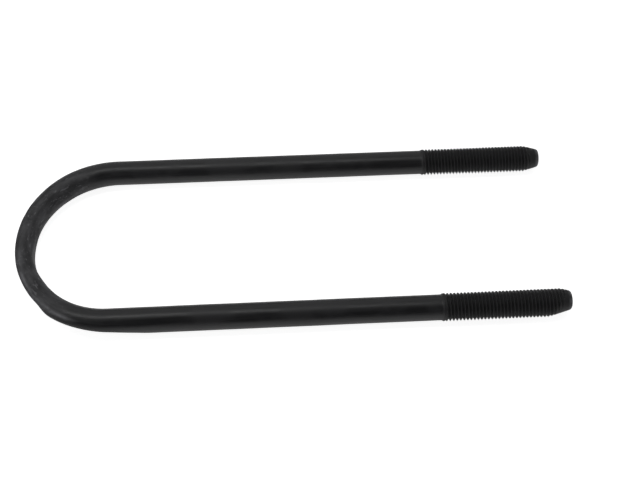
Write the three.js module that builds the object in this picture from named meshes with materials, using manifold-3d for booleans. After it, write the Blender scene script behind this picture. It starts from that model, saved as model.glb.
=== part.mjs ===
// A round-bend U-bolt: one steel bar bent into a half circle, with a right-hand M16 x 2 thread
// rolled on the end of each leg. It lies flat, as on a bench: the crown points to -X, the legs run
// along +X side by side, and +Z is up. Millimetres.
// The origin is the middle of the footprint, on the surface that the bolt lies on. The bolt is
// first made round the centre of its bend, at the height of the bar's middle line.

import * as THREE from 'three';
import { mergeGeometries, mergeVertices } from 'three/addons/utils/BufferGeometryUtils.js';
import Module from 'manifold-3d';

const wasm = await Module();
wasm.setup();

const { clamp, degToRad, lerp, radToDeg, smoothstep } = THREE.MathUtils;

// Driving dimensions
const SHANK_DIAMETER = 14.7; // the bar before rolling, which is the thread's pitch diameter
const INSIDE_WIDTH = 90; // clear width between the legs, for a tube of about 89 mm
const STRAIGHT_LEG = 261.5; // from the end of the bend to the leg end
const THREAD_LENGTH = 73; // from the shoulder to the leg end
const THREAD_DIAMETER = 15.9; // over the crests, M16
const THREAD_PITCH = 2;
const THREAD_DEPTH = 1.227; // crest to root
const FLANK_ANGLE = degToRad(30); // each side of a 60 degree thread
const SHOULDER_LENGTH = 1.2; // the cone that rises from the shank to the crests
const END_FACE_DIAMETER = 10.9;
const END_TAPER_LENGTH = 9; // over which the crests narrow to the end face
// The -Y leg's taper was turned off-centre: how far it is shifted along Y and Z. It sits a little
// in towards the other leg and up, so more is gone from its outer lower side.
const OFF_CENTRE = [0.83, 0.56];
const CENTRED = [0, 0];

// The outside of the bend is pressed flat. Angles run round the bend, from 90 degrees where the
// +Y leg starts, through 180 degrees at the crown, to 270 degrees where the -Y leg starts, and on
// at the same rate along that leg. The press deepens up to PRESS_FULL, steps back to its tail
// depth, and ends a little way along the leg.
const PRESS_START = 111;
const PRESS_FULL = 218;
const PRESS_DEPTH = 0.265 * SHANK_DIAMETER;
const STEP_START = 226;
const STEP_END = 237;
const TAIL_DEPTH = 0.157 * SHANK_DIAMETER;
const TAIL_FADE = 252;
const PRESS_END = 300;
// The press leans out of upright, towards this heading, which is measured from -Y towards +X.
const PRESS_LEAN = degToRad(35);
const PRESS_HEADING = degToRad(26);
// The former that the bar was bent round left a shallow flat on the inside, near the crown.
const FORMER_DEPTH = 0.065 * SHANK_DIAMETER;
const FORMER_MIDDLE = 194;
const FORMER_REACH = 24; // from its middle to each end

// Faceting
const BAR_SIDES = 24;
const PRESS_STEPS = 42; // from the start of the bend to the end of the press, 5 degrees each
const THREAD_SIDES = 16;
const WELD_GAP = 1e-3; // points closer than this become one

const shankRadius = SHANK_DIAMETER / 2;
const threadRadius = THREAD_DIAMETER / 2;
const endFaceRadius = END_FACE_DIAMETER / 2;
const bendRadius = INSIDE_WIDTH / 2 + shankRadius; // to the bar's middle line
const plainLeg = STRAIGHT_LEG - THREAD_LENGTH;

// The bar's middle line: one step along the +Y leg, PRESS_STEPS round the bend and on to the end of
// the press, and one step along the rest of the -Y leg.
class BarPath extends THREE.Curve {
  getUtoTmapping(u) {
    return u;
  }

  getPoint(t, target = new THREE.Vector3()) {
    const station = t * (PRESS_STEPS + 2) - 1;
    const pressed = clamp(station, 0, PRESS_STEPS) / PRESS_STEPS;
    const travel = lerp(Math.PI / 2, degToRad(PRESS_END), pressed);
    const angle = Math.min(travel, 1.5 * Math.PI);
    const pastBend = bendRadius * (travel - angle);
    const alongFirstLeg = Math.max(-station, 0) * plainLeg;
    const alongLastLeg = lerp(pastBend, plainLeg, Math.max(station - PRESS_STEPS, 0));
    return target.set(
      bendRadius * Math.cos(angle) + alongFirstLeg + alongLastLeg,
      bendRadius * Math.sin(angle),
      0,
    );
  }
}

// Keeps the positions only, welds them, and drops the triangles that welding closed up.
function weld(geometry) {
  geometry.deleteAttribute('normal');
  geometry.deleteAttribute('uv');
  const welded = mergeVertices(geometry, WELD_GAP);
  const corners = welded.index.array;
  const kept = [];
  for (let i = 0; i < corners.length; i += 3) {
    const [a, b, c] = corners.subarray(i, i + 3);
    if (a !== b && b !== c && c !== a) {
      kept.push(a, b, c);
    }
  }
  welded.setIndex(kept);
  return welded;
}

function toSolid(geometry) {
  const welded = weld(geometry);
  return new wasm.Manifold(
    new wasm.Mesh({
      numProp: 3,
      vertProperties: new Float32Array(welded.attributes.position.array),
      triVerts: new Uint32Array(welded.index.array),
    }),
  );
}

function toGeometry(solid) {
  const mesh = solid.getMesh();
  const geometry = new THREE.BufferGeometry();
  geometry.setAttribute('position', new THREE.BufferAttribute(mesh.vertProperties, mesh.numProp));
  geometry.setIndex(new THREE.BufferAttribute(mesh.triVerts, 1));
  geometry.computeVertexNormals();
  return geometry;
}

// How far the press has moved in at an angle round the bend, in degrees.
function pressDepth(angle) {
  const stepBack = (PRESS_DEPTH - TAIL_DEPTH) * smoothstep(angle, STEP_START, STEP_END);
  const fade = TAIL_DEPTH * smoothstep(angle, TAIL_FADE, PRESS_END);
  return PRESS_DEPTH * smoothstep(angle, PRESS_START, PRESS_FULL) - stepBack - fade;
}

function formerDepth(angle) {
  const fromMiddle = Math.abs(angle - FORMER_MIDDLE);
  return FORMER_DEPTH * (1 - smoothstep(fromMiddle, 0, FORMER_REACH));
}

// In the bar's section, `out` faces away from the middle of the bend and `up` is +Z. Moves a point
// that stands proud of a flat back to it. The flat's normal is `out` turned down by `tilt`.
function pushBack([out, up], tilt, depth) {
  const reach = out * Math.cos(tilt) - up * Math.sin(tilt);
  const proud = Math.max(0, reach - shankRadius + depth);
  return [out - proud * Math.cos(tilt), up + proud * Math.sin(tilt)];
}

// Presses a flat outside and a shallow one inside into the round bar. The outer flat is tilted so
// that the press's leaning direction lies in it.
function pressBar(geometry) {
  const position = geometry.attributes.position;
  for (let i = 0; i < position.count; i += 1) {
    const x = position.getX(i);
    const y = position.getY(i);
    const turnX = Math.min(x, 0);
    const fromCentre = Math.hypot(turnX, y);
    const facing = Math.atan2(-y, -turnX) + Math.PI;
    const pastBend = Math.max(x, 0) / bendRadius;
    const angle = radToDeg(facing - Math.sign(y) * pastBend);
    const heading = Math.cos(facing) * Math.sin(PRESS_HEADING)
      - Math.sin(facing) * Math.cos(PRESS_HEADING);
    const tilt = Math.atan(heading * Math.tan(PRESS_LEAN));
    let section = [fromCentre - bendRadius, position.getZ(i)];
    section = pushBack(section, tilt, pressDepth(angle));
    section = pushBack(section, Math.PI, formerDepth(angle));
    const [out, up] = section;
    const shrink = (bendRadius + out) / fromCentre;
    position.setXYZ(i, x + turnX * (shrink - 1), y * shrink, up);
  }
  return geometry;
}

function makeBar() {
  const section = new THREE.Shape().absarc(0, 0, shankRadius, 0, 2 * Math.PI);
  const bar = new THREE.ExtrudeGeometry(section, {
    curveSegments: BAR_SIDES,
    steps: PRESS_STEPS + 2,
    extrudePath: new BarPath(),
  });
  return pressBar(bar);
}

// How far the end taper is from the leg's axis, in a direction round the leg.
function taperReach(along, angle, [shiftY, shiftZ]) {
  const slope = (threadRadius - endFaceRadius) / END_TAPER_LENGTH;
  const shifted = shiftY * Math.cos(angle) + shiftZ * Math.sin(angle);
  return endFaceRadius + (THREAD_LENGTH - along) * slope + shifted;
}

// Rolls a flat sheet into the threaded surface. A column of the sheet is one direction round the
// leg, and its rows are the near edge of a crest, its far edge and the root, turn after turn. Each
// column starts a little behind the one before, which makes the rows one right-hand helix. Rows
// that fall outside the thread's length gather on its first or last ring.
function makeThreadWall(shift) {
  const crest = THREAD_PITCH - 2 * THREAD_DEPTH * Math.tan(FLANK_ANGLE);
  const rowOffsets = [0, crest, (THREAD_PITCH + crest) / 2];
  const rootRow = 2;
  const turns = Math.ceil(THREAD_LENGTH / THREAD_PITCH) + 1;
  const rows = turns * rowOffsets.length;
  const wall = new THREE.PlaneGeometry(1, 1, THREAD_SIDES, rows);
  for (let row = 0; row <= rows; row += 1) {
    const rowInTurn = row % rowOffsets.length;
    for (let column = 0; column <= THREAD_SIDES; column += 1) {
      const turn = Math.floor(row / rowOffsets.length) - column / THREAD_SIDES;
      const along = clamp(turn * THREAD_PITCH + rowOffsets[rowInTurn], 0, THREAD_LENGTH);
      const fullCut = rowInTurn === rootRow ? THREAD_DEPTH : 0;
      const cut = fullCut * Math.min(1, along / THREAD_PITCH);
      const angle = (-2 * Math.PI * column) / THREAD_SIDES;
      const radius = Math.min(threadRadius - cut, taperReach(along, angle, shift));
      wall.attributes.position.setXYZ(
        row * (THREAD_SIDES + 1) + column,
        along,
        radius * Math.cos(angle),
        radius * Math.sin(angle),
      );
    }
  }
  return wall;
}

function makeEndFace(shift) {
  const endFace = new THREE.CircleGeometry(1, THREAD_SIDES);
  const { position } = endFace.attributes;
  for (let i = 0; i < position.count; i += 1) {
    const angle = Math.atan2(position.getY(i), position.getX(i));
    const fromAxis = Math.hypot(position.getX(i), position.getY(i));
    const reach = fromAxis * taperReach(THREAD_LENGTH, angle, shift);
    position.setXYZ(i, THREAD_LENGTH, reach * Math.cos(angle), reach * Math.sin(angle));
  }
  return endFace;
}

// A leg end, from just inside the plain shank to the end face.
function makeThreadedEnd(legY, shift) {
  const insideShank = threadRadius - SHOULDER_LENGTH;
  const shoulder = new THREE.LatheGeometry(
    [
      new THREE.Vector2(0, -SHOULDER_LENGTH),
      new THREE.Vector2(insideShank, -SHOULDER_LENGTH),
      new THREE.Vector2(threadRadius, 0),
    ],
    THREAD_SIDES,
  );
  shoulder.rotateZ(-Math.PI / 2);
  const end = mergeGeometries([makeThreadWall(shift), makeEndFace(shift), shoulder]);
  end.translate(plainLeg, legY, 0);
  return end;
}

function makeUBolt() {
  const solid = toSolid(makeBar())
    .add(toSolid(makeThreadedEnd(bendRadius, CENTRED)))
    .add(toSolid(makeThreadedEnd(-bendRadius, OFF_CENTRE)));
  const geometry = toGeometry(solid);
  geometry.computeBoundingBox();
  const { min, max } = geometry.boundingBox;
  geometry.translate(-(min.x + max.x) / 2, 0, -min.z);
  return geometry;
}

const blackSteel = new THREE.MeshStandardMaterial({
  color: 0x26262a,
  roughness: 0.45,
  metalness: 0.6,
});

const group = new THREE.Group();
const uBolt = new THREE.Mesh(makeUBolt(), blackSteel);
uBolt.name = 'u_bolt';
group.add(uBolt);

export default group;
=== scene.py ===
"""A round-bend U-bolt in black steel, lying flat on a pale floor.

The bolt is one surface: a bar swept round the bend and pressed flat on its outside, with a rolled
thread on each leg end. It is made round the centre of its bend, at the height of the bar's middle
line, and is then moved to where the CAD bolt lies. Lengths are in metres.
"""
import math

import bmesh
import bpy
import numpy as np
from mathutils import Matrix, Vector, noise


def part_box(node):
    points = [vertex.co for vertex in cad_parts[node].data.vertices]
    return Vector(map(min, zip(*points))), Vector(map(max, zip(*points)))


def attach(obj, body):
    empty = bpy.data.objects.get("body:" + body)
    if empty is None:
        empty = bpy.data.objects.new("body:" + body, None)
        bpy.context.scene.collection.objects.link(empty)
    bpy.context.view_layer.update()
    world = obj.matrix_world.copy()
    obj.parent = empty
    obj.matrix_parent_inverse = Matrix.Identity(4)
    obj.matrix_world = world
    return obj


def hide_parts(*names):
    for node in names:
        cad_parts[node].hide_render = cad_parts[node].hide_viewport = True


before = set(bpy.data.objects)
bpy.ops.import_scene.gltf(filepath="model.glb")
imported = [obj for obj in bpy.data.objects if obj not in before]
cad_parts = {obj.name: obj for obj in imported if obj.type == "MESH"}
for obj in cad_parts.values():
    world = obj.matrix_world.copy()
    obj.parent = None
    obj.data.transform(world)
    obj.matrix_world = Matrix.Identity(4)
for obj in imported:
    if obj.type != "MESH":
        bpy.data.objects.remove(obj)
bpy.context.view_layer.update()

MM = 0.001
SEED = 7

# ---- sizes --------------------------------------------------------------------------------------
LOW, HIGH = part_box("u_bolt")
THREAD_RADIUS = (HIGH.z - LOW.z) / 2
BEND_RADIUS = (HIGH.y - LOW.y) / 2 - THREAD_RADIUS
HALF_BEND = BEND_RADIUS * math.pi / 2
SHANK_RADIUS = 7.35 * MM
STRAIGHT_LEG = 261.5 * MM
THREAD_LENGTH = 73 * MM
PLAIN_LEG = STRAIGHT_LEG - THREAD_LENGTH
BEND_CENTRE = Vector((HIGH.x - STRAIGHT_LEG, 0, THREAD_RADIUS))

THREAD_PITCH = 2 * MM
THREAD_DEPTH = 1.227 * MM
FLANK_SLOPE = math.tan(math.radians(60))
CREST_HALF_WIDTH = THREAD_PITCH / 16
CREST_ROUNDING = 0.05 * MM
ROOT_ROUNDING = 0.16 * MM
SHOULDER_LENGTH = 1.2 * MM
SHOULDER_TOP = 0.3 * MM  # along the leg, where the shoulder is as high as the crests
RUN_OUT = (-0.4 * MM, 3.4 * MM)  # along the leg, where the grooves come in
END_FACE_RADIUS = 5.45 * MM
TAPER_LENGTH = 9 * MM
TAPER_ROUNDING = 0.12 * MM
CLEAR_OF_CRESTS = 1.2 * THREAD_RADIUS  # a taper that is further out than this cuts nothing
EDGE_BREAK = 0.4 * MM
# The -Y leg's taper is off-centre by this much along Y and Z.
OFF_CENTRE = (0.83 * MM, 0.56 * MM)
CENTRED = (0, 0)
# Along the leg end: where the thread's darker tone comes in, and where the tip is rubbed bright, a
# lighter colour that is partly wear and partly painted glints.
DARK_THREAD = (-SHOULDER_LENGTH, 0.4 * MM)
RUBBED_AND_GLINT_TIP = (THREAD_LENGTH - 3 * MM, THREAD_LENGTH)
# The end face dips towards its middle: each ring's share of the radius, and how far it is sunk.
END_FACE_RINGS = ((0.93, 0), (0.62, 0.10 * MM), (0.3, 0.16 * MM))
END_FACE_DIP = 0.18 * MM

# The press on the outside of the bend, as in the CAD bolt. Angles are in degrees round the bend:
# 90 where the +Y leg starts, 180 at the crown, and on past 270 along the -Y leg.
PRESS_START = 111
PRESS_FULL = 218
PRESS_DEPTH = 0.265 * 2 * SHANK_RADIUS
STEP_START = 226
STEP_END = 237
TAIL_DEPTH = 0.157 * 2 * SHANK_RADIUS
TAIL_FADE = 252
PRESS_END = 300
PRESS_LEAN = math.radians(35)
PRESS_HEADING = math.radians(26)
PRESS_CORNER = 0.35 * MM

# The shallow flat that the bending former left inside, near the crown.
FORMER_DEPTH = 0.065 * 2 * SHANK_RADIUS
FORMER_MIDDLE = 194
FORMER_REACH = 24

# A narrow burnished bevel along the upper edge of the flat. A span is the four angles where it
# starts to rise, is full, starts to fall and has ended.
BEVEL_TURN = math.radians(73)
BEVEL_DEPTH = 0.24 * MM
BEVEL_CORNER = 0.3 * MM
BEVEL_SPAN = (180, 208, 242, 258)
# The rubbed strip lies above the bevel's middle; its lighter colour is partly wear and partly a
# painted highlight.
RUBBED_HIGHLIGHT_RISE = 0.5 * MM
RUBBED_HIGHLIGHT_HALF_WIDTH = 1.1 * MM

# The stretch that was heated to bend it: dull scale, pitted and knocked by the bending tools.
SCALE_SPAN = (100, 124, 228, 252)

# The dents, each drawn at random between two limits: degrees round the bend from the crown, degrees
# round the bar from its outer side, degrees of slant from the bar's direction, and millimetres.
DENT_COUNT = 95
DENT_TRAVEL = (-68, 76)
DENT_SIDE = (-40, 200)
DENT_SLANT = (-70, 70)
DENT_LENGTH = (1.1, 3.2)
DENT_WIDTH = (0.5, 1.2)
DENT_DEPTH = (0.04, 0.15)

# Waves in the skin: the height and size of each in millimetres, and where its noise is read.
SKIN_WAVES = ((0.04, 14, 0), (0.022, 4, 31))
SCALE_WAVES = ((0.05, 7, 57), (0.02, 2, 83))

# ---- meshing ------------------------------------------------------------------------------------
BAR_SIDES = 96
THREAD_SIDES = 48
BEND_ROWS = 280
LEG_ROWS = 90
JOIN_GAP = 0.8 * MM  # from the bar's last ring to a leg end's first
# Rows of points from a crest's middle to a root's, as shares of the pitch.
CREST_TO_ROOT = (0, 0.055, 0.095, 0.235, 0.375, 0.44)
SAME_POINT = 0.002 * MM
NO_LENGTH = 0.0001 * MM
SHARP_ANGLE = math.radians(50)

# ---- looks --------------------------------------------------------------------------------------
# Greys of the steel, as the share of light that each gives back.
LEG_DARK, LEG_LIGHT, LEG_HANDLED = 0.013, 0.021, 0.03
SCALE_DARK, SCALE_LIGHT, SCALE_SPECK, SCALE_MARK = 0.028, 0.076, 0.09, 0.15
THREAD_GREY = 0.015
# The rubbed grey lightens the bevel's strip and the tips: partly wear, partly a painted highlight
# and painted glints.
RUBBED_AND_HIGHLIGHT_GREY = 0.2
BLUE_TINT = 1.06

LEG_ROUGHNESS = (0.32, 0.44)
HANDLED_ROUGHNESS = 0.52
SCALE_ROUGHNESS = (0.72, 0.56)
THREAD_ROUGHNESS = 0.62
BUMP_HEIGHT = 0.06 * MM

# How bright the floor glows towards the bolt, and as the camera sees it.
FLOOR_GLOW = (0.42, 0.89)
FLOOR_HALF_WIDTH = 4.0
ROOM_COLOUR = (0.04, 0.04, 0.042, 1)
ROOM_SEEN = (0.93, 0.93, 0.93, 1)
# Soft boxes: name, place, the point each faces, its sides and its power in watts.
SOFT_BOXES = (
    ("overhead", (-0.35, 0.15, 1.05), (-0.35, 0.15, 0), (1.2, 0.3), 3.2),
    ("behind", (0, 1.0, 0.75), (0, 0, 0.1), (2.4, 1.1), 4.0),
    ("left", (-1.2, -0.25, 0.62), (-0.12, 0, 0), (0.7, 0.5), 2.5),
    ("right", (1.2, -0.1, 0.5), (-0.05, 0, 0), (0.6, 0.5), 1.1),
)

# The camera looks at a point between the legs, given from the centre of the bend.
CAMERA_AZIMUTH = math.radians(-4.07)
CAMERA_ELEVATION = math.radians(56.07)
CAMERA_ROLL = math.radians(1.09)
CAMERA_DISTANCE = 560.6 * MM
CAMERA_TARGET = Vector((121.72, -3.29, 0)) * MM
LENS = 53.29
SENSOR_WIDTH = 36


def smooth_step(value, low, high):
    t = np.clip((value - low) / (high - low), 0, 1)
    return t * t * (3 - 2 * t)


def span(value, limits):
    """1 inside a stretch and 0 outside it, with a smooth rise and fall."""
    rise_from, rise_to, fall_from, fall_to = limits
    return smooth_step(value, rise_from, rise_to) * (1 - smooth_step(value, fall_from, fall_to))


def soft_positive(value, rounding):
    """value where it is positive and 0 where it is negative, with a rounded corner."""
    return 0.5 * (value + np.sqrt(value * value + rounding * rounding))


def noise_at(points, size, offset):
    """Smooth noise from -1 to 1 with features of a given size, at each point of an array."""
    flat = points.reshape(-1, 3) / size + offset
    values = [noise.noise(Vector(p)) for p in flat]
    return np.array(values).reshape(points.shape[:-1])


# ---- the bar ------------------------------------------------------------------------------------
def bar_stations():
    """The bar's middle line from one leg's shoulder to the other's.

    Returns x, y, the direction that faces out of the bend, and the distance along from the crown.
    """
    end = PLAIN_LEG - SHOULDER_LENGTH - JOIN_GAP
    leg = np.linspace(end, 0, LEG_ROWS, endpoint=False)
    bend = np.linspace(math.pi / 2, 3 * math.pi / 2, BEND_ROWS + 1)
    side = np.full(LEG_ROWS, BEND_RADIUS)
    x = np.concatenate([leg, BEND_RADIUS * np.cos(bend), leg[::-1]])
    y = np.concatenate([side, BEND_RADIUS * np.sin(bend), -side])
    facing_out = np.concatenate([np.full(LEG_ROWS, bend[0]), bend, np.full(LEG_ROWS, bend[-1])])
    on_bend = BEND_RADIUS * (bend - math.pi)
    along = np.concatenate([-HALF_BEND - leg, on_bend, HALF_BEND + leg[::-1]])
    return x, y, facing_out, along


def press_depth(angle):
    depth = PRESS_DEPTH * smooth_step(angle, PRESS_START, PRESS_FULL)
    depth -= (PRESS_DEPTH - TAIL_DEPTH) * smooth_step(angle, STEP_START, STEP_END)
    return depth - TAIL_DEPTH * smooth_step(angle, TAIL_FADE, PRESS_END)


def former_depth(angle):
    return FORMER_DEPTH * (1 - smooth_step(abs(angle - FORMER_MIDDLE), 0, FORMER_REACH))


def flatten(out, up, tilt, depth, rounding):
    """Moves a section's points back to a flat whose normal is turned down by tilt.

    Returns the points, and how far each stood over the flat.
    """
    reach = out * np.cos(tilt) - up * np.sin(tilt)
    over = reach - (SHANK_RADIUS - depth)
    soft = rounding * np.clip(depth / rounding, 0, 1)
    back = np.where(depth > 0, soft_positive(over, soft), 0)
    return out - back * np.cos(tilt), up + back * np.sin(tilt), over


def press_bend(out, up, facing_out, degrees):
    """Presses the flats and the bevel into round sections. Returns them with the bevel's rubbed
    strip, a mask that is partly wear and partly a painted highlight.
    """
    heading = np.cos(facing_out) * math.sin(PRESS_HEADING)
    heading -= np.sin(facing_out) * math.cos(PRESS_HEADING)
    tilt = np.arctan(heading * math.tan(PRESS_LEAN))
    out, up, _ = flatten(out, up, tilt, press_depth(degrees), PRESS_CORNER)
    out, up, _ = flatten(out, up, math.pi, former_depth(degrees), PRESS_CORNER)
    bevel = span(degrees, BEVEL_SPAN)
    bevel_tilt = tilt - BEVEL_TURN
    out, up, over = flatten(out, up, bevel_tilt, BEVEL_DEPTH * bevel, BEVEL_CORNER)
    across = out * np.sin(bevel_tilt) + up * np.cos(bevel_tilt)
    # The strip that is lightened in colour: partly wear, partly a painted highlight.
    rubbed_and_highlight = np.exp(-((across - RUBBED_HIGHLIGHT_RISE) / RUBBED_HIGHLIGHT_HALF_WIDTH) ** 2) * (over > -SHANK_RADIUS)
    return out, up, bevel * rubbed_and_highlight


def dents(along, section):
    """Depth of the knocks and pits in the bend's surface, each an oval at a random place."""
    rng = np.random.default_rng(SEED)
    depth = np.zeros_like(along)
    for _ in range(DENT_COUNT):
        middle = BEND_RADIUS * math.radians(rng.uniform(*DENT_TRAVEL))
        side = math.radians(rng.uniform(*DENT_SIDE))
        slant = math.radians(rng.uniform(*DENT_SLANT))
        length = rng.uniform(*DENT_LENGTH) * MM
        width = rng.uniform(*DENT_WIDTH) * MM
        deepest = rng.uniform(*DENT_DEPTH) * MM
        forward = along - middle
        across = SHANK_RADIUS * (section - side)
        u = (forward * math.cos(slant) + across * math.sin(slant)) / length
        v = (across * math.cos(slant) - forward * math.sin(slant)) / width
        depth += deepest * np.exp(-u * u - v * v)
    return depth


def waves(straight, layers):
    """Layers of smooth noise added up, in millimetres."""
    return sum(height * noise_at(straight, size * MM, offset) for height, size, offset in layers)


def unevenness(straight, section, scale):
    """How far the skin stands proud: waves everywhere, and more of them and dents in the scale."""
    proud = waves(straight, SKIN_WAVES) + scale * waves(straight, SCALE_WAVES)
    return proud * MM - scale * dents(straight[..., 0], section)


def bar_rings():
    """The bar's points, their places on the straightened bar, their rubbed strip (wear and a painted
    highlight) and their scale.
    """
    x, y, facing_out, along = bar_stations()
    round_bar = 2 * math.pi * np.arange(BAR_SIDES) / BAR_SIDES
    facing_out, section = np.meshgrid(facing_out, round_bar, indexing="ij")
    along = np.repeat(along[:, None], BAR_SIDES, axis=1)
    degrees = 180 + np.degrees(along / BEND_RADIUS)
    out = SHANK_RADIUS * np.cos(section)
    up = SHANK_RADIUS * np.sin(section)
    out, up, worn = press_bend(out, up, facing_out, degrees)

    scale = span(degrees, SCALE_SPAN)
    straight = np.stack([along, out, up], axis=-1)
    swell = 1 + unevenness(straight, section, scale) / np.hypot(out, up)
    out, up = out * swell, up * swell
    points = np.stack([
        x[:, None] + out * np.cos(facing_out),
        y[:, None] + out * np.sin(facing_out),
        up,
    ], axis=-1)
    return points, straight, worn, scale


# ---- the thread ---------------------------------------------------------------------------------
def thread_cut(from_crest):
    """How deep the thread's surface is below its crests, by the distance from a crest's middle."""
    down_flank = (from_crest - CREST_HALF_WIDTH) * FLANK_SLOPE
    rounded_crest = soft_positive(down_flank, CREST_ROUNDING)
    return THREAD_DEPTH - soft_positive(THREAD_DEPTH - rounded_crest, ROOT_ROUNDING)


def thread_rows():
    """Places along one pitch where the thread's section needs a row of points."""
    half = np.array(CREST_TO_ROOT)
    return THREAD_PITCH * np.concatenate([half, 1 - half[:0:-1]])


def thread_grid(shift):
    """A leg end from its shoulder: along the leg, and across it, for a right-hand helix.

    Each column of points starts a little behind the one before, so that its rows follow the helix.
    Rows outside the leg end's length gather on its first or last ring. The taper is off-centre by
    shift.
    """
    rows = thread_rows()
    turns = math.ceil((SHOULDER_LENGTH + THREAD_LENGTH) / THREAD_PITCH) + 1
    starts = THREAD_PITCH * np.arange(turns)[:, None]
    row_places = np.append((starts + rows).ravel(), turns * THREAD_PITCH)
    column = np.arange(THREAD_SIDES + 1) / THREAD_SIDES
    helix_place = row_places[:, None] - THREAD_PITCH * column - SHOULDER_LENGTH
    along = np.clip(helix_place, -SHOULDER_LENGTH, THREAD_LENGTH)

    rise = smooth_step(along, -SHOULDER_LENGTH, SHOULDER_TOP)
    radius = SHANK_RADIUS + (THREAD_RADIUS - SHANK_RADIUS) * rise
    in_pitch = np.mod(row_places, THREAD_PITCH)[:, None]
    from_crest = np.minimum(in_pitch, THREAD_PITCH - in_pitch)
    cut = thread_cut(from_crest) - thread_cut(np.zeros(1))
    radius = radius - cut * smooth_step(along, *RUN_OUT)

    angle = -2 * math.pi * column[None, :]
    face_radius = END_FACE_RADIUS + shift[0] * np.cos(angle) + shift[1] * np.sin(angle)
    slope = (THREAD_RADIUS - END_FACE_RADIUS) / TAPER_LENGTH
    taper = face_radius + (THREAD_LENGTH - along) * slope
    broken_edge = face_radius - EDGE_BREAK + (THREAD_LENGTH - along)
    near_tip = taper < CLEAR_OF_CRESTS
    for limit in (taper, broken_edge):
        radius = radius - soft_positive(radius - limit, TAPER_ROUNDING) * near_tip
    radius = np.where(along >= THREAD_LENGTH, face_radius - EDGE_BREAK, radius)
    return np.stack([along, radius * np.cos(angle), radius * np.sin(angle)], axis=-1)


# ---- joining it up ------------------------------------------------------------------------------
class Surface:
    """Points and faces of one mesh, with the values that its material reads at each point."""

    def __init__(self):
        self.points = []
        self.straight = []
        self.faces = []
        self.values = {"worn": [], "scale": [], "thread": []}

    def add(self, points, straight, **values):
        """Adds an array of points, and returns their numbers in an array of the same shape."""
        shape = points.shape[:-1]
        first = len(self.points)
        self.points.extend(points.reshape(-1, 3).tolist())
        self.straight.extend(straight.reshape(-1, 3).tolist())
        for key, listed in self.values.items():
            listed.extend(np.broadcast_to(values.get(key, 0.0), shape).ravel().tolist())
        return first + np.arange(math.prod(shape)).reshape(shape)

    def grid(self, index):
        """Adds faces between the rows and columns of a grid of point numbers."""
        for near, far in zip(index[:-1], index[1:]):
            for k in range(len(near) - 1):
                self.faces.append((near[k], near[k + 1], far[k + 1], far[k]))

    def at(self, index):
        return np.array([self.points[i] for i in index])

    def mesh(self, name):
        mesh = bpy.data.meshes.new(name)
        mesh.from_pydata(self.points, [], [tuple(int(i) for i in face) for face in self.faces])
        for key, listed in self.values.items():
            layer = mesh.attributes.new(key, "FLOAT", "POINT")
            layer.data.foreach_set("value", np.array(listed, np.float32))
        place = mesh.attributes.new("straight", "FLOAT_VECTOR", "POINT")
        place.data.foreach_set("vector", np.array(self.straight, np.float32).ravel())
        return mesh


def add_bar(surface):
    points, straight, worn, scale = bar_rings()
    index = surface.add(points, straight, worn=worn, scale=scale)
    surface.grid(np.concatenate([index, index[:, :1]], axis=1))
    return index


def straighten_leg(points, side):
    """Where a leg's points lie on the straightened bar."""
    x, y, z = np.moveaxis(points, -1, 0)
    return np.stack([-side * (HALF_BEND + x), side * y - BEND_RADIUS, z], axis=-1)


def join_rings(surface, bar_ring, end_ring):
    """Joins the bar's last ring to a leg end's first, which has half as many points.

    The bar's points run from the outward side of the bend and the leg end's from one fixed side,
    so the rings are matched by place.
    """
    bar_places = surface.at(bar_ring)[:, 1:]
    nearest = []
    for place in surface.at(end_ring)[:, 1:]:
        nearest.append(int(np.linalg.norm(bar_places - place, axis=1).argmin()))
    for k in range(THREAD_SIDES):
        a, b = nearest[k], nearest[k + 1]
        step = 1 if (b - a) % BAR_SIDES < BAR_SIDES / 2 else -1
        middle = bar_ring[(a + step) % BAR_SIDES]
        surface.faces.append((bar_ring[a], middle, end_ring[k]))
        surface.faces.append((middle, bar_ring[b], end_ring[k + 1], end_ring[k]))


def add_leg_end(surface, bar_ring, side, shift):
    """Threads one leg. side is 1 for the +Y leg and -1 for the -Y leg."""
    leg_start = np.array([PLAIN_LEG, side * BEND_RADIUS, 0])
    grid = thread_grid(shift)
    thread = smooth_step(grid[..., 0], *DARK_THREAD)
    # The tip's last millimetres are lightened: partly wear, partly painted glints.
    worn = smooth_step(grid[..., 0], *RUBBED_AND_GLINT_TIP)
    points = grid + leg_start
    index = surface.add(points, straighten_leg(points, side), thread=thread, worn=worn)
    surface.grid(index)
    join_rings(surface, bar_ring, index[0])

    edge = surface.at(index[-1])
    centre = edge[:-1].mean(axis=0)
    rings = [index[-1]]
    for share, sunk in END_FACE_RINGS:
        ring = centre + (edge - centre) * share - np.array([sunk, 0, 0])
        rings.append(surface.add(ring, straighten_leg(ring, side), scale=0.5))
    surface.grid(np.array(rings))
    middle = centre[None, :] - np.array([[END_FACE_DIP, 0, 0]])
    middle = surface.add(middle, straighten_leg(middle, side), scale=0.5)[0]
    for k in range(THREAD_SIDES):
        surface.faces.append((rings[-1][k], rings[-1][k + 1], middle))


def make_bolt():
    surface = Surface()
    index = add_bar(surface)
    add_leg_end(surface, index[0], 1, CENTRED)
    add_leg_end(surface, index[-1], -1, OFF_CENTRE)
    mesh = surface.mesh("u_bolt_surface")
    work = bmesh.new()
    work.from_mesh(mesh)
    bmesh.ops.remove_doubles(work, verts=work.verts, dist=SAME_POINT)
    bmesh.ops.dissolve_degenerate(work, edges=work.edges, dist=NO_LENGTH)
    bmesh.ops.recalc_face_normals(work, faces=work.faces)
    work.to_mesh(mesh)
    work.free()
    mesh.transform(Matrix.Translation(BEND_CENTRE))
    mesh.shade_smooth()
    mesh.set_sharp_from_angle(angle=SHARP_ANGLE)
    bolt = bpy.data.objects.new("u_bolt_surface", mesh)
    bpy.context.scene.collection.objects.link(bolt)
    return bolt


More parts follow.
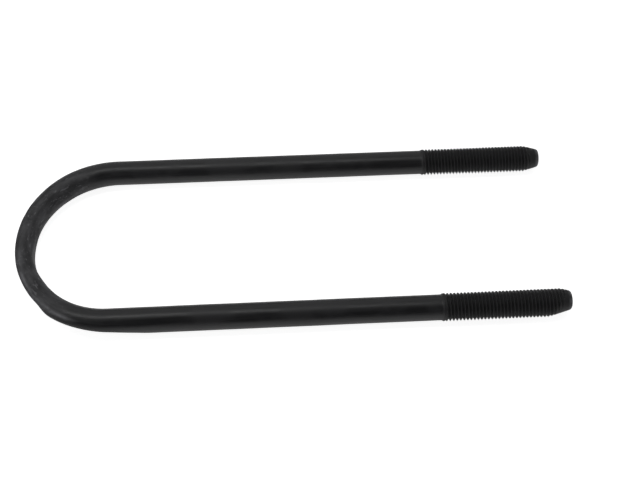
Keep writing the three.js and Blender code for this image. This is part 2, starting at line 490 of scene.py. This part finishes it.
# ---- materials ----------------------------------------------------------------------------------
class Nodes:
    """Short calls for the nodes of one material. An input takes another node's output or a value."""

    def __init__(self, material):
        material.use_nodes = True
        self.tree = material.node_tree
        self.shader = self.tree.nodes["Principled BSDF"]

    def add(self, kind, **inputs):
        node = self.tree.nodes.new("ShaderNode" + kind)
        for name, source in inputs.items():
            self.feed(node, name.replace("_", " "), source)
        return node

    def feed(self, node, name, source):
        if isinstance(source, bpy.types.NodeSocket):
            self.tree.links.new(source, node.inputs[name])
        else:
            node.inputs[name].default_value = source

    def attribute(self, name, output="Fac"):
        node = self.add("Attribute")
        node.attribute_name = name
        return node.outputs[output]

    def noise(self, place, size, detail, stretch=1):
        """Noise with features of a size, drawn out along the bar by a factor."""
        place = self.add("Mapping", Vector=place, Scale=(1 / stretch, 1, 1)).outputs["Vector"]
        return self.add("TexNoise", Vector=place, Scale=1 / size, Detail=detail).outputs["Fac"]

    def number(self, value, start, end, low, high):
        """Turns a value from start to end into a number from low to high."""
        node = self.add(
            "MapRange", Value=value, From_Min=start, From_Max=end, To_Min=low, To_Max=high
        )
        return node.outputs["Result"]

    def colour(self, value, start, end, low, high):
        """Turns a value from start to end into a colour from low to high."""
        node = self.add("ValToRGB", Fac=value)
        for stop, place, shade in zip(node.color_ramp.elements, (start, end), (low, high)):
            stop.position = place
            stop.color = shade
        return node.outputs["Color"]

    def mix(self, factor, first, second, kind="RGBA"):
        node = self.add("Mix")
        node.data_type = kind
        for name, source in (("Factor", factor), ("A", first), ("B", second)):
            self.feed(node, name, source)
        return node.outputs["Result"]


def cool_grey(value):
    """A grey with the slight blue of blackened steel."""
    return (value, value, BLUE_TINT * value, 1)


def black_steel():
    """Blackened steel: satin with drawing lines on the legs, dull blotched scale on the bend.

    The scale has small light specks and marks. The thread is darker, and the bevel on the bend and
    the edges of the tips are rubbed brighter, partly real wear and partly a painted highlight and
    painted glints.
    """
    material = bpy.data.materials.new("black_steel")
    nodes = Nodes(material)
    place = nodes.attribute("straight", "Vector")
    scale, thread, worn = (nodes.attribute(key) for key in ("scale", "thread", "worn"))
    drawn = nodes.noise(place, 1.0 * MM, detail=4, stretch=30)
    handled = nodes.noise(place, 16 * MM, detail=3)
    blotches = nodes.noise(place, 3.5 * MM, detail=4, stretch=4)
    specks = nodes.noise(place, 2 * MM, detail=3)
    marks = nodes.noise(place, 1.6 * MM, detail=2, stretch=2.5)
    grain = nodes.noise(place, 0.45 * MM, detail=3)

    leg_tone = nodes.colour(drawn, 0.35, 0.7, cool_grey(LEG_DARK), cool_grey(LEG_LIGHT))
    touched = nodes.number(handled, 0.45, 0.6, 0, 0.6)
    leg_tone = nodes.mix(touched, leg_tone, cool_grey(LEG_HANDLED))
    scale_tone = nodes.colour(blotches, 0.36, 0.66, cool_grey(SCALE_DARK), cool_grey(SCALE_LIGHT))
    speck = nodes.number(specks, 0.6, 0.72, 0, 0.8)
    scale_tone = nodes.mix(speck, scale_tone, cool_grey(SCALE_SPECK))
    mark = nodes.number(marks, 0.61, 0.69, 0, 0.8)
    scale_tone = nodes.mix(mark, scale_tone, cool_grey(SCALE_MARK))
    tone = nodes.mix(scale, leg_tone, scale_tone)
    tone = nodes.mix(thread, tone, cool_grey(THREAD_GREY))
    # Painted highlight and glints, with wear: the bevel's strip and the tips are lightened in
    # patches.
    patches = nodes.mix(0.25, blotches, specks, "FLOAT")
    rubbed_and_highlight = nodes.mix(worn, 0, nodes.number(patches, 0.38, 0.6, 0.2, 1), "FLOAT")
    tone = nodes.mix(rubbed_and_highlight, tone, cool_grey(RUBBED_AND_HIGHLIGHT_GREY))
    nodes.feed(nodes.shader, "Base Color", tone)

    leg_roughness = nodes.number(drawn, 0.3, 0.7, *LEG_ROUGHNESS)
    dulled = nodes.number(handled, 0.42, 0.62, 0, 0.8)
    leg_roughness = nodes.mix(dulled, leg_roughness, HANDLED_ROUGHNESS, "FLOAT")
    scale_roughness = nodes.number(blotches, 0.3, 0.7, *SCALE_ROUGHNESS)
    roughness = nodes.mix(scale, leg_roughness, scale_roughness, "FLOAT")
    roughness = nodes.mix(thread, roughness, THREAD_ROUGHNESS, "FLOAT")
    nodes.feed(nodes.shader, "Roughness", roughness)

    pitting = nodes.mix(scale, 0, specks, "FLOAT")
    height = nodes.mix(0.5, grain, pitting, "FLOAT")
    bump = nodes.add("Bump", Height=height, Strength=0.5, Distance=BUMP_HEIGHT)
    nodes.feed(nodes.shader, "Normal", bump.outputs["Normal"])
    return material


def floor_material():
    """White board, bright enough to leave only a faint shadow where the bolt touches it.

    It glows more towards the camera than towards the bolt, which would otherwise mirror it.
    """
    material = bpy.data.materials.new("floor_white")
    nodes = Nodes(material)
    nodes.feed(nodes.shader, "Base Color", (0.8, 0.8, 0.8, 1))
    nodes.feed(nodes.shader, "Roughness", 0.8)
    nodes.feed(nodes.shader, "Emission Color", (1, 1, 1, 1))
    seen = nodes.add("LightPath").outputs["Is Camera Ray"]
    nodes.feed(nodes.shader, "Emission Strength", nodes.number(seen, 0, 1, *FLOOR_GLOW))
    return material


# ---- stage --------------------------------------------------------------------------------------
def make_floor():
    half = FLOOR_HALF_WIDTH
    corners = [(-half, -half, 0), (half, -half, 0), (half, half, 0), (-half, half, 0)]
    mesh = bpy.data.meshes.new("floor")
    mesh.from_pydata(corners, [], [(0, 1, 2, 3)])
    floor = bpy.data.objects.new("floor", mesh)
    floor.data.materials.append(floor_material())
    bpy.context.scene.collection.objects.link(floor)


def soft_box(name, place, aim, size, power):
    """A rectangular area light at a place, facing a point."""
    data = bpy.data.lights.new(name, "AREA")
    data.shape = "RECTANGLE"
    data.size, data.size_y = size
    data.energy = power
    light = bpy.data.objects.new(name, data)
    light.location = place
    light.rotation_euler = (Vector(aim) - Vector(place)).to_track_quat("-Z", "Y").to_euler()
    bpy.context.scene.collection.objects.link(light)


def make_light():
    """Soft boxes over, behind and to either side, in a dark room.

    Where the camera sees the room past the floor, it is a very pale grey.
    """
    for box in SOFT_BOXES:
        soft_box(*box)
    world = bpy.data.worlds.new("studio")
    world.use_nodes = True
    nodes, links = world.node_tree.nodes, world.node_tree.links
    path = nodes.new("ShaderNodeLightPath")
    mix = nodes.new("ShaderNodeMix")
    mix.data_type = "RGBA"
    mix.inputs["A"].default_value = ROOM_COLOUR
    mix.inputs["B"].default_value = ROOM_SEEN
    links.new(path.outputs["Is Camera Ray"], mix.inputs["Factor"])
    links.new(mix.outputs["Result"], nodes["Background"].inputs["Color"])
    bpy.context.scene.world = world


def make_camera():
    back = Vector((
        math.sin(CAMERA_AZIMUTH) * math.cos(CAMERA_ELEVATION),
        -math.cos(CAMERA_AZIMUTH) * math.cos(CAMERA_ELEVATION),
        math.sin(CAMERA_ELEVATION),
    ))
    right = Vector((0, 0, 1)).cross(back).normalized()
    up = back.cross(right)
    turned_right = right * math.cos(CAMERA_ROLL) + up * math.sin(CAMERA_ROLL)
    turned_up = up * math.cos(CAMERA_ROLL) - right * math.sin(CAMERA_ROLL)
    data = bpy.data.cameras.new("camera")
    data.sensor_width = SENSOR_WIDTH
    data.lens = LENS
    camera = bpy.data.objects.new("camera", data)
    axes = Matrix((turned_right, turned_up, back)).transposed().to_4x4()
    eye = BEND_CENTRE + CAMERA_TARGET + back * CAMERA_DISTANCE
    camera.matrix_world = Matrix.Translation(eye) @ axes
    bpy.context.scene.collection.objects.link(camera)
    bpy.context.scene.camera = camera


# ---- the scene ----------------------------------------------------------------------------------
make_camera()
make_floor()
make_light()
bpy.context.scene.view_settings.view_transform = "Standard"

bolt = make_bolt()
bolt.data.materials.append(black_steel())
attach(bolt, "root")
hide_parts("u_bolt")
